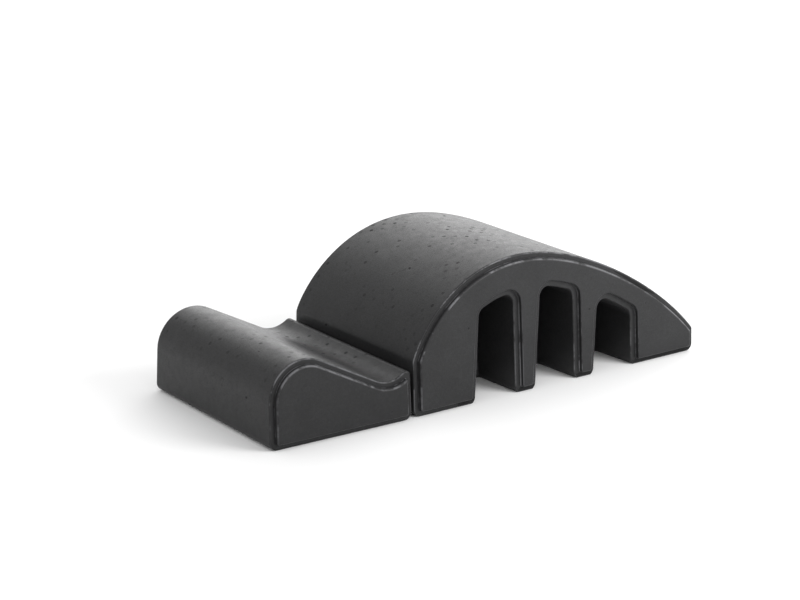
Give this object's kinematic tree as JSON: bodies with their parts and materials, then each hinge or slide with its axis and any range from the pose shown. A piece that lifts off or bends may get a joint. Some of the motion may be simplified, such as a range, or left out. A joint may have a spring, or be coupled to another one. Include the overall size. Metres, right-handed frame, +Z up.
{
  "type": "pilates spine corrector",
  "caption": "Moulded foam pilates spine corrector: an arched barrel block with tapered side pockets and a separate wave-topped step block that stands against it.",
  "frame": {"origin": "on the floor, under the middle of the overall length and width, with the two blocks standing together", "axes": "+X along the length from the step block's toe to the barrel's tail, +Y across the width, +Z up"},
  "size_m": [0.9297, 0.3964, 0.2485],
  "materials": {
    "barrel_foam": "charcoal moulded bead foam, fine bead skin with small vent marks",
    "step_foam": "charcoal moulded bead foam, fine bead skin with small vent marks"
  },
  "bodies": {
    "barrel": {"arched_barrel": "barrel_foam"},
    "step": {"step_block": "step_foam"}
  },
  "joints": [
    {"name": "step_pull_away", "type": "slide", "parent": "barrel", "child": "step", "axis": [-1, 0, 0], "range_m": [0, 0.2]}
  ]
}
